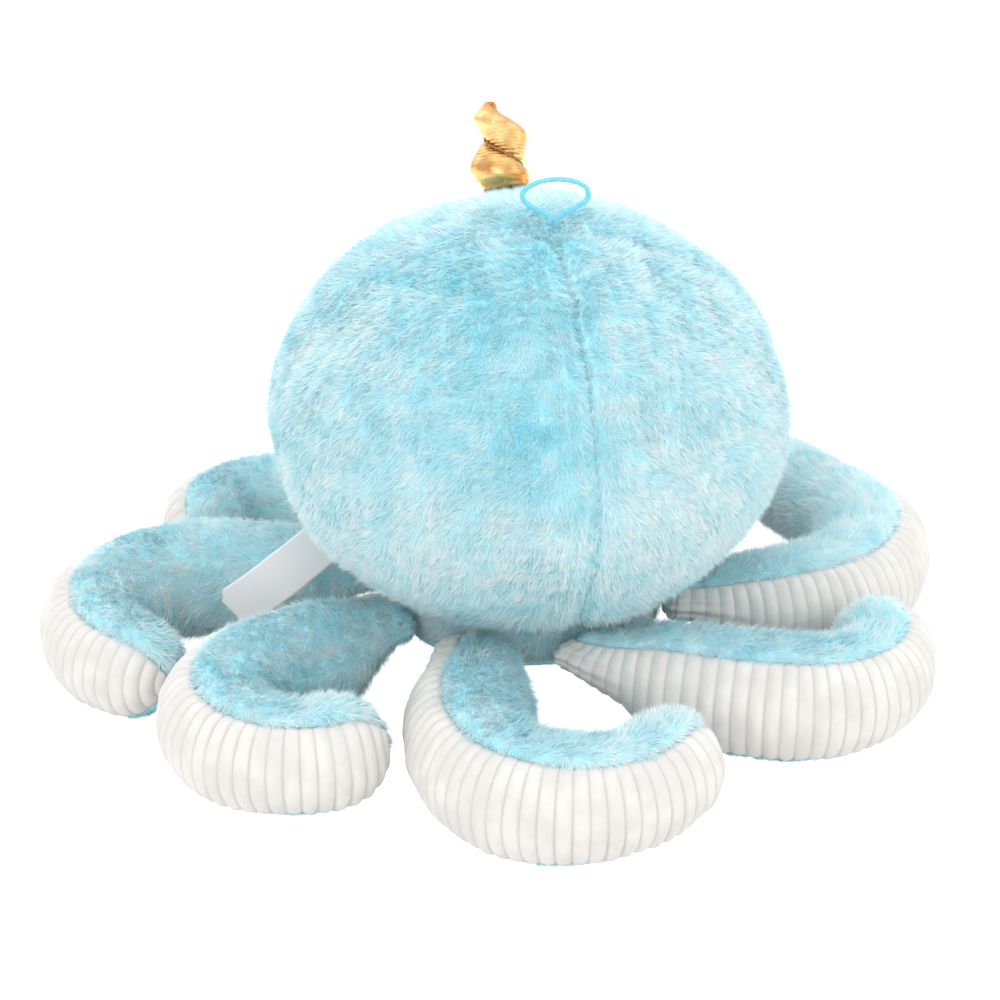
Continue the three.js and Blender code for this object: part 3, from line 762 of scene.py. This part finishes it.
def add_pile(name, point, normal, flow, length, body, node, random, tone_shift):
    """Strands of pile: flat pointed blades that lean with the nap and gather into tufts."""
    count = len(point)
    flow = unit(flattened(flow, normal))
    aside = np.cross(normal, flow)
    swirl = 0.6 * drift(point, 34) + 0.7 * drift(point, 12, 1) + 0.5 * drift(point, 6, 2)
    swirl += 0.4 * random.standard_normal(count)
    way = unit(flow * np.cos(swirl)[:, None] + aside * np.sin(swirl)[:, None])
    standing = random.random(count) < STANDING_SHARE
    lean = np.where(standing, STANDING_LEAN, LYING_LEAN) + 0.18 * drift(point, 12, 2)
    lean = np.clip(lean + 0.14 * random.standard_normal(count), 0.4, 1.5)[:, None]
    way = unit(normal * np.cos(lean) + way * np.sin(lean))
    length = length * (0.85 + 0.3 * random.random(count))
    tip = point + way * length[:, None]
    warp = np.stack([drift(point, 11, channel) for channel in range(3)], -1) * 3.2
    cell = np.floor((point + warp) / TUFT_SIZE).astype(np.int64)
    number = cell_number(cell)
    centre = (cell + 0.5 + 0.3 * LATTICE[:, number].T) * TUFT_SIZE
    tip += TUFT_PULL * flattened(centre - point, normal)
    tip[:, 2] = np.maximum(tip[:, 2], 2 * FLOOR_CLEARANCE)
    level = unit(np.cross(way, normal))
    across = level + 0.45 * random.standard_normal((count, 3))
    across = unit(across + level * np.maximum(0.3 - (across * level).sum(-1, keepdims=True), 0))
    half = (0.5 * PILE_WIDTH * (0.7 + 0.6 * random.random(count)))[:, None]
    sunk = point - normal * PILE_SUNK
    blades = np.stack([sunk - across * half, sunk + across * half, tip], 1)
    blades[..., 2] = np.maximum(blades[..., 2], FLOOR_CLEARANCE)
    tone = 0.55 + 0.14 * drift(point, 40, 1) + 0.2 * drift(point, 12, 2) + 0.2 * LATTICE[0][number]
    tone = np.clip(tone + 0.06 * random.standard_normal(count) + tone_shift + 0.1 * standing, 0, 1)
    add_blades(name, point, blades, tone, body, node)


def add_blades(name, point, blades, tone, body, node):
    """The strands' meshes, cut by bearing, in which neighbours on the toy follow each other."""
    count = len(point)
    parts = max(1, -(-count // STRANDS_PER_PIECE))
    turn = np.argsort(np.arctan2(point[:, 1], point[:, 0] - ORIGIN[0]), kind="stable")
    for part in range(parts):
        own = turn[count * part // parts:count * (part + 1) // parts]
        own = own[np.lexsort((point[own, 0] // 4, point[own, 1] // 4, point[own, 2] // 4))]
        title = f"{name}_pile" if parts == 1 else f"{name}_pile_{part + 1}"
        faces = np.arange(len(own) * 3).reshape(-1, 3)
        attributes = {"pile": np.tile([0.0, 0.0, 1.0], len(own)), "tone": np.repeat(tone[own], 3)}
        piece = add_mesh(title, blades[own].reshape(-1, 3), faces, PILE, False, attributes,
                         blade_layout(len(own)))
        dress(piece, body, "blue_fur", node)


def blade_layout(count):
    """Each strand's own triangle in a square grid of cells."""
    grid = math.ceil(math.sqrt(count))
    cells = np.stack(np.divmod(np.arange(count), grid), -1)
    spots = np.array([[0.12, 0.12], [0.88, 0.12], [0.5, 0.88]])
    return ((cells[:, None] + spots) / grid).reshape(-1, 2)


# Arms


class Arm:
    """An arm's middle line and section, from its root's end to its tip's end."""

    def __init__(self, bearing, splay, curl, length_share, rise, curl_from, curl_to):
        self.length = ARM_LENGTH * length_share
        self.rise = rise
        steps = 256

        def heading(shares):
            return bearing + splay + curl * smooth(shares, curl_from, curl_to)

        middles = (np.arange(steps) + 0.5) / steps
        line = np.cumsum(bearing_vector(heading(middles)) * self.length / steps, axis=0)
        line = np.concatenate([np.zeros((1, 3)), line]) + ARM_REACH * bearing_vector(bearing)
        self.line = line + ORIGIN
        self.shares = np.linspace(0, 1, steps + 1)
        self.facing = bearing + (heading(self.shares) - bearing) * smooth(self.shares, 0, 0.12)

    def rows(self, shares, root_ends, tip_ends):
        """Rows at shares of the length, with more rows round both ends."""
        share = np.concatenate([np.zeros(len(root_ends)), shares, np.ones(len(tip_ends))])
        end = np.radians(np.concatenate([root_ends, np.zeros(len(shares)), tip_ends]))
        swell, taper = smooth(share, 0, SWELL_SHARE), smooth(share, TAPER_SHARE, 1)
        wide = (ROOT_WIDE + (BELLY - ROOT_WIDE) * swell - TAPER * taper) / 2
        high = (ROOT_HIGH + (BELLY - ROOT_HIGH) * swell - TAPER * taper) / 2
        middle = path_at(share, self.shares, self.line)
        drop = ARM_ROOT_Z - ROOT_HIGH / 2 * FLOOR_SIDE
        middle[:, 2] = high * FLOOR_SIDE + drop * (1 - swell) + ARM_RISE * self.rise * taper
        facing = np.interp(share, self.shares, self.facing)
        return {"share": share, "end": end, "wide": wide, "high": high, "middle": middle,
                "forward": bearing_vector(facing), "outside": bearing_vector(facing - 90),
                "way": share * self.length + high * end}

    def surface(self, rows, angles, outset, closed):
        """The arm's skin at these rows and angles, 0 outside its curl and 90 on top."""
        angles = np.radians(angles)
        shrink = np.cos(rows["end"])[:, None]
        wide = (rows["wide"][:, None] + outset) * shrink
        high = (rows["high"][:, None] + outset) * shrink
        along = (rows["high"][:, None] + outset) * np.sin(rows["end"])[:, None]
        points = (rows["middle"][:, None] + rows["forward"][:, None] * along[..., None]
                  + rows["outside"][:, None] * (wide * np.cos(angles))[..., None]
                  + UP * (high * np.sin(angles))[..., None])
        points[..., 2] = np.maximum(points[..., 2], 0.6)
        return Surface(points, closed)


def gathers(rows, angles):
    """Small pleats where the fabric is gathered at the root."""
    near = 1 - smooth(rows["share"], 0.0, GATHER_SHARE)
    pleats = 0.5 + 0.5 * np.cos(np.radians(angles) * GATHER_COUNT)
    return -GATHER_DEPTH * near[:, None] * pleats[None]


def arm_puff(field, rows, angles, coarse_way):
    """The coarse swelling read at an arm's finer rows and angles."""
    closed = np.concatenate([field, field[:, :1]], 1)
    coarse_angles = np.append(COARSE_ANGLES, FUR_FROM + 360)
    angles = (np.asarray(angles) - FUR_FROM) % 360 + FUR_FROM
    by_angle = np.stack([np.interp(angles, coarse_angles, row) for row in closed])
    return np.stack([np.interp(rows["way"], coarse_way, column) for column in by_angle.T], -1)


def add_arm(number, arm, puff, coarse_way):
    """An arm's fur panel with its pile, its ribbed panel and its filling."""
    name = f"arm_{number}"
    rows = arm.rows(np.linspace(0, 1, 64), ROOT_ENDS, TIP_ENDS)
    angles = np.linspace(FUR_FROM + 1, FUR_TO - 1, 34)
    plain = arm.surface(rows, angles, -FUR_INSET, False)
    outset = -FUR_INSET + gathers(rows, angles) + arm_puff(puff, rows, angles, coarse_way)
    outset += drift(plain.points, 40) + 0.5 * drift(plain.points, 17, 1)
    seam = smooth(np.minimum(angles - FUR_FROM, FUR_TO - angles), 0, SEAM_ANGLE)
    outset -= FUR_DRAWN_IN * (1 - seam)
    skin = arm.surface(rows, angles, outset, False)
    sheet = fabric_sheet(f"{name}_backing", skin, BACKING, BACKING_THICKNESS)
    dress(sheet, name, "blue_fur", f"{name}_fur_panel")
    add_arm_pile(name, skin, rows, angles, np.random.default_rng(100 + number))
    add_ribs(name, arm, puff, coarse_way)

    rows = arm.rows(np.linspace(0, 1, 40), ROOT_ENDS[1:], TIP_ENDS[:-1])
    angles = np.linspace(FUR_FROM, FUR_FROM + 360, 28, endpoint=False)
    inner = arm.surface(rows, angles, 0.5 - ARM_FILLING_INSET, True)
    outset = -ARM_FILLING_INSET + 0.5 * drift(inner.points, 22) + gathers(rows, angles)
    filling = closed_form(f"{name}_filling", arm.surface(rows, angles, outset, True), FILLING)
    dress(filling, name, "fibre_filling", f"{name}_stuffing")


def add_arm_pile(name, skin, rows, angles, random):
    """Pile along the arm, short at its root and underneath, that hangs over the upper seam."""
    point, normal, along, row, column = skin.scatter(PILE_DENSITY, random)
    clear = (normal[:, 2] > -0.8) | (random.random(len(point)) < 0.3)
    way = np.interp(row, np.arange(len(rows["way"])), rows["way"])
    angle = np.interp(column, np.arange(len(angles)), angles)
    edge = 1 - smooth(angle, FUR_FROM, FUR_FROM + SEAM_ANGLE)
    lengths = PILE_LENGTH * (0.5 + 0.5 * smooth(way, -8, 18))
    lengths = lengths * (1 - (0.3 + 0.2 * drift(point, 9)) * edge)
    lengths *= 1 - 0.62 * smooth(angle, 245, 282)
    flow = along - 0.25 * UP + 0.35 * unit(point - BALL_MIDDLE)
    flow = flow + 1.8 * edge[:, None] * np.cross(along, normal)
    # The arm's pile is painted paler along the whole arm, a painted lift against the shade the arms get
    # beside the ball; beside the upper seam it is paler still
    add_pile(name, point[clear], normal[clear], flow[clear], lengths[clear], name,
             f"{name}_fur_panel", random, (0.06 + 0.22 * edge)[clear])


def add_ribs(name, arm, puff, coarse_way):
    """The ribbed panel outside the curl: plump ribs across the arm, drawn in at both seams."""
    guide = arm.rows(np.linspace(0, 1, 400), ROOT_ENDS, TIP_ENDS)
    outer = arm.surface(guide, np.array([0.0, 10.0]), 0.0, False).points[:, 0]
    reach = distances_along(outer)
    count = round(reach[-1] / RIB_PITCH)
    pitch = reach[-1] / count
    steps = np.array([0, 0.07, 0.16, 0.27, 0.42, 0.58, 0.73, 0.85, 0.94])
    places = (np.arange(count)[:, None] + steps).ravel() * pitch
    at_way = np.interp(places, reach, guide["way"])
    on_arm = (at_way >= 0) & (at_way <= arm.length)
    root = np.degrees(at_way[at_way < 0] / (ROOT_HIGH / 2))
    tip = np.degrees((at_way[at_way > arm.length] - arm.length) / guide["high"][-1])
    rows = arm.rows(at_way[on_arm] / arm.length, np.clip(root, -86, 0), np.clip(tip, 0, 86))
    crest = np.sin(np.pi * ((places / pitch) % 1)) ** 0.75
    angles = np.linspace(FUR_FROM, FUR_TO - 360, 27)[::-1]
    seam = smooth(np.minimum(FUR_FROM - angles, angles + 360 - FUR_TO), 0, SEAM_ANGLE)
    plain = arm.surface(rows, angles, 0.0, False)
    plump = RIB_HEIGHT * (0.85 + 0.4 * drift(plain.points, 13)) * (0.35 + 0.65 * seam)
    thin = 1 - 0.6 * (1 - smooth(rows["share"], 0.02, 0.2))
    outset = -RIB_INSET + crest[:, None] * plump * thin[:, None] - RIB_DRAWN_IN * (1 - seam)
    outset = outset + arm_puff(puff, rows, angles, coarse_way) + 1.1 * gathers(rows, angles)
    outset += 0.7 * drift(plain.points, 33, 1)
    skin = arm.surface(rows, angles, outset, False)
    sheet = fabric_sheet(f"{name}_ribbed", skin, VELOUR, VELOUR_THICKNESS)
    values = np.repeat(crest, len(angles))
    layer = sheet.data.attributes.new("crest", "FLOAT", "POINT")
    layer.data.foreach_set("value", np.resize(values, len(sheet.data.vertices)).astype(np.float32))
    dress(sheet, name, "ribbed_velour", f"{name}_ribbed_panel")


# The swelling of stuffed fabric between its seams, from one cloth simulation for the whole toy


def swell(surfaces, held):
    """How far each surface's points move out under the filling's pressure, up to a cap."""
    points = np.concatenate([surface.points.reshape(-1, 3) for surface in surfaces])
    stops = np.cumsum([surface.points.size // 3 for surface in surfaces])
    starts = [0, *stops[:-1]]
    faces = np.concatenate([surface.faces() + start for surface, start in zip(surfaces, starts)])
    model = add_mesh("swelling", points, faces, FILLING)
    group = model.vertex_groups.new(name="seams")
    pinned = np.concatenate([part.ravel() for part in held])
    group.add([int(i) for i in np.flatnonzero(pinned)], 1.0, "REPLACE")
    cloth = model.modifiers.new("cloth", "CLOTH")
    settings = cloth.settings
    settings.vertex_group_mass = "seams"
    settings.use_pressure = True
    settings.uniform_pressure_force = SWELL_PRESSURE
    settings.effector_weights.gravity = 0.0
    settings.quality = 4
    settings.tension_stiffness = settings.compression_stiffness = SWELL_STIFFNESS
    settings.bending_stiffness = SWELL_BENDING
    cloth.point_cache.frame_start, cloth.point_cache.frame_end = 1, SWELL_FRAMES
    scene = bpy.context.scene
    for number in range(1, SWELL_FRAMES + 1):
        scene.frame_set(number)
    moved = model.evaluated_get(bpy.context.evaluated_depsgraph_get()).to_mesh()
    co = np.empty(len(moved.vertices) * 3, np.float32)
    moved.vertices.foreach_get("co", co)
    co = co.reshape(-1, 3) / MM
    bpy.data.objects.remove(model)
    scene.frame_set(1)
    fields = []
    for surface, start, stop in zip(surfaces, starts, stops):
        moves = co[start:stop].reshape(surface.points.shape) - surface.points
        out = (moves * surface.normals[:, :moves.shape[1]]).sum(-1)
        fields.append(np.clip(np.nan_to_num(out), -SWELL_CAP, SWELL_CAP))
    return fields


def rest_swelling(arms):
    """The swelling of the head and of each arm, and the places of the arms' rows."""
    head = ball_surface(30, 56, 3.2)
    behind, left = seam_distances(head.points)
    near = np.minimum(np.abs(behind), np.where(behind > 0, np.abs(left), FAR)) < 6
    near[:2] = near[-1:] = True
    surfaces, held, ways = [head], [near], []
    for arm in arms:
        rows = arm.rows(np.linspace(0, 1, 34), ROOT_ENDS[1::2], TIP_ENDS[1::2])
        surfaces.append(arm.surface(rows, COARSE_ANGLES, -2.0, True))
        pins = np.zeros(surfaces[-1].points.shape[:2], bool)
        pins[:, 0] = pins[:, COARSE_FUR_TO] = True
        pins[:4] = pins[-1:] = True
        held.append(pins)
        ways.append(rows["way"])
    return swell(surfaces, held), ways


# Horn, label, eyes and mouth


def horn_line(share):
    """The horn's middle in its own axes, and the bearing of its spiral, at shares of its length."""
    turns = HORN_START - 2 * np.pi * HORN_TURNS * share
    wobble = HORN_WOBBLE * np.sin(np.pi * share)
    tip = HORN_LENGTH * unit(HORN_LEAN) @ axes(HORN_PLACE).T
    line = tip * share[:, None]
    line[:, 0] += wobble * np.cos(turns)
    line[:, 1] += wobble * np.sin(turns)
    line[:, 2] += HORN_BOW * HORN_LENGTH * share * (1 - share) + HORN_RAISED * (1 - share)
    return line, turns


def horn_radius(share):
    body = HORN_FOOT - (HORN_FOOT - HORN_TIP) * share ** 2
    return body * (1 - (HORN_TIP / HORN_FOOT) * (1 - smooth(share, 0, HORN_SWELL_SHARE)))


def horn_surface(rows, columns, inset, creased):
    """The horn's skin, with the spiral crease and the gathers beside it where it is creased."""
    share = np.linspace(0, 0.985, rows)
    line, turns = horn_line(share)
    angle = round_angles(columns)
    off = np.angle(np.exp(1j * (angle[None] - turns[:, None] - np.pi)))
    radius = horn_radius(share)[:, None] - inset + np.zeros_like(off)
    if creased:
        deep = HORN_CREASE * np.exp(-(off / HORN_CREASE_REACH) ** 2)
        fading = 0.45 + 0.55 * (1 - share)
        radius += (HORN_PUFF - deep) * smooth(share, 0.0, 0.1)[:, None] * fading[:, None]
        ripple = np.sin(share[:, None] * 150 + 5 * off + 4 * drift(line, 9)[:, None])
        radius += HORN_RIPPLE * ripple * np.exp(-np.abs(off) / 0.9) * (1 - share)[:, None]
    points = np.stack([np.cos(angle) * radius, np.sin(angle) * radius, np.zeros_like(radius)], -1)
    points = placed(HORN_PLACE, points + line[:, None])
    if creased:
        points += 0.35 * drift(points, 4.5)[..., None] * unit(points - points.mean(1, keepdims=True))
    return Surface(points, True)


def add_horn():
    """The horn's cover and filling, and the thread that lies in the cover's crease."""
    cover = closed_form("horn_cover_sewn", horn_surface(110, 84, 0.2, True), GOLD)
    dress(cover, "horn", "gold_fabric", "horn_cover", fill=0.8)
    filling = closed_form("horn_filling", horn_surface(30, 24, HORN_FILLING_INSET, False), FILLING)
    dress(filling, "horn", "fibre_filling", "horn_stuffing")
    share = np.linspace(0.06, 0.93, 140)
    line, turns = horn_line(share)
    reach = (horn_radius(share) - THREAD_SUNK)[:, None]
    crease = np.stack([np.cos(turns + np.pi), np.sin(turns + np.pi), np.zeros_like(turns)], -1)
    path = placed(HORN_PLACE, line + reach * crease)
    surface = tube(path, THREAD_RADIUS, 10, lobes=2, lobe=0.2, pitch=3.0)
    thread = closed_form("horn_drawn_thread", surface, GOLD_THREAD)
    attach(thread, "horn", "gold_thread", "horn_thread")


def add_label():
    """The sewn-in strip: satin that stands out of the seam as a wave."""
    out = np.array([0, 0.15, 0.3, 0.45, 0.6, 0.75, 0.9, 1]) * LABEL_LENGTH
    sway = np.array([0, 0.2, 0.6, 0.9, 1, 0.7, 0.1, -0.4]) * 3
    share = np.linspace(0, 1, 60)
    x = share * LABEL_LENGTH + 0.3
    y = np.interp(x, out, sway)
    y = np.convolve(np.pad(y, 4, mode="edge"), np.ones(9) / 9, "valid")
    half = LABEL_HALF - LABEL_NARROWED * smooth(share, 0.92, 1.0)
    across = np.linspace(-1, 1, 22)
    z = across[None] * half[:, None]
    ripple = 0.5 * np.sin(share * 9)[:, None] * across[None] + 0.35 * across[None] ** 2
    points = np.stack([np.repeat(x[:, None], len(across), 1), y[:, None] + ripple, z], -1)
    strip = Surface(placed(LABEL_PLACE, points), False)
    label = fabric_sheet("label_strip", strip, SATIN, SATIN_THICKNESS)
    attach(label, "label", "white_satin", "sewn_label")


def turned_form(name, profile, place, material, sides=48):
    """A turned piece on its own axis, from rings of radius and height."""
    profile = np.array(profile, float)
    angle = round_angles(sides)
    rings = np.stack([profile[:, :1] * np.cos(angle), profile[:, :1] * np.sin(angle),
                      np.repeat(profile[:, 1:], sides, 1)], -1)
    return closed_form(name, Surface(placed(place, rings), True), material)


def add_eyes():
    """The eyes' turned buttons, and the plastic of the washers behind them."""
    dome = np.linspace(0, math.pi / 2, 16)[1:-1]
    profile = EYE_STEM + [(EYE_RADIUS * math.cos(a), EYE_DOME * math.sin(a)) for a in dome]
    for side, place in EYE_PLACES.items():
        eye = turned_form(f"eye_{side}_button", profile, place, EYE)
        attach(eye, "head", "black_eye", f"eye_{side}")
        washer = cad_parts[f"eye_washer_{side}"].data.materials
        washer.clear()
        washer.append(WASHER)


def add_mouth():
    """Satin stitch: slanting stitches laid side by side along the mouth's line."""
    path = through(mouth_path(-STITCH_SUNK), 110)
    surface = tube(path, STITCH_RADIUS, 12, lobes=1, lobe=0.35, pitch=STITCH_PITCH)
    mouth = closed_form("mouth_satin_stitch", surface, MOUTH_THREAD)
    attach(mouth, "head", "dark_thread", "mouth_stitching")


def add_head_inside():
    """The base panel under the ball, and the filling, dented where the eyes' washers pull."""
    turn = round_angles(72)
    rows = np.linspace(0.02, 1, 14)[:, None] * BASE_RADIUS
    height = np.full((len(rows), len(turn)), BASE_HEIGHT)
    points = np.stack([rows * np.cos(turn), rows * np.sin(turn), height], -1) + ORIGIN
    points[..., 2] += smooth(drift(points, 30), -1, 1)
    sheet = fabric_sheet("head_base", Surface(points, True), BACKING, BASE_THICKNESS)
    dress(sheet, "head", "blue_fur", "head_base_panel")
    inner = ball_surface(60, 96, HEAD_FILLING_INSET)
    heights = 0.8 * drift(inner.points, 24) - seam_depth(inner.points)
    for place in EYE_PLACES.values():
        away = np.linalg.norm(inner.points - np.array(place[2]), axis=-1)
        heights -= WASHER_DENT * np.exp(-(away / WASHER_DENT_REACH) ** 4)
    filling = closed_form("head_filling", inner.raised(heights), FILLING)
    dress(filling, "head", "fibre_filling", "head_stuffing")


# Floor and sky


def add_stage():
    """A white floor that glows where it is seen but lights nothing, and an even white sky."""
    bpy.ops.object.select_all(action="DESELECT")
    bpy.ops.mesh.primitive_plane_add(size=16, location=(0, 0, -0.0005))
    floor = bpy.context.object
    floor.name = "floor"
    paint = Paint("floor_paper", roughness=0.95, specular_ior_level=0.0)
    paint.shader.inputs["Base Color"].default_value = (0.92, 0.92, 0.92, 1)
    rays = paint.tree.nodes.new("ShaderNodeLightPath")
    seen = Value(paint, rays.outputs["Is Camera Ray"]) + Value(paint, rays.outputs["Is Glossy Ray"])
    seen = seen + Value(paint, rays.outputs["Is Transmission Ray"])
    paint.shader.inputs["Emission Color"].default_value = (1, 1, 1, 1)
    paint.tree.links.new(seen.socket, paint.shader.inputs["Emission Strength"])
    floor.data.materials.append(paint.material)
    world = bpy.data.worlds.new("studio")
    bpy.context.scene.world = world
    world.use_nodes = True
    background = world.node_tree.nodes["Background"]
    background.inputs["Color"].default_value = (1, 1, 1, 1)
    background.inputs["Strength"].default_value = 1.0


bpy.context.scene.view_settings.view_transform = "Standard"
add_camera()
add_loop()
arms = [Arm(*row) for row in ARMS]
puffs, arm_ways = rest_swelling(arms)
add_head(puffs[0])
add_head_inside()
for number, arm in enumerate(arms):
    add_arm(number + 1, arm, puffs[number + 1], arm_ways[number])
add_horn()
add_label()
add_eyes()
add_mouth()
add_stage()
for lamp in LAMPS:
    add_lamp(*lamp)
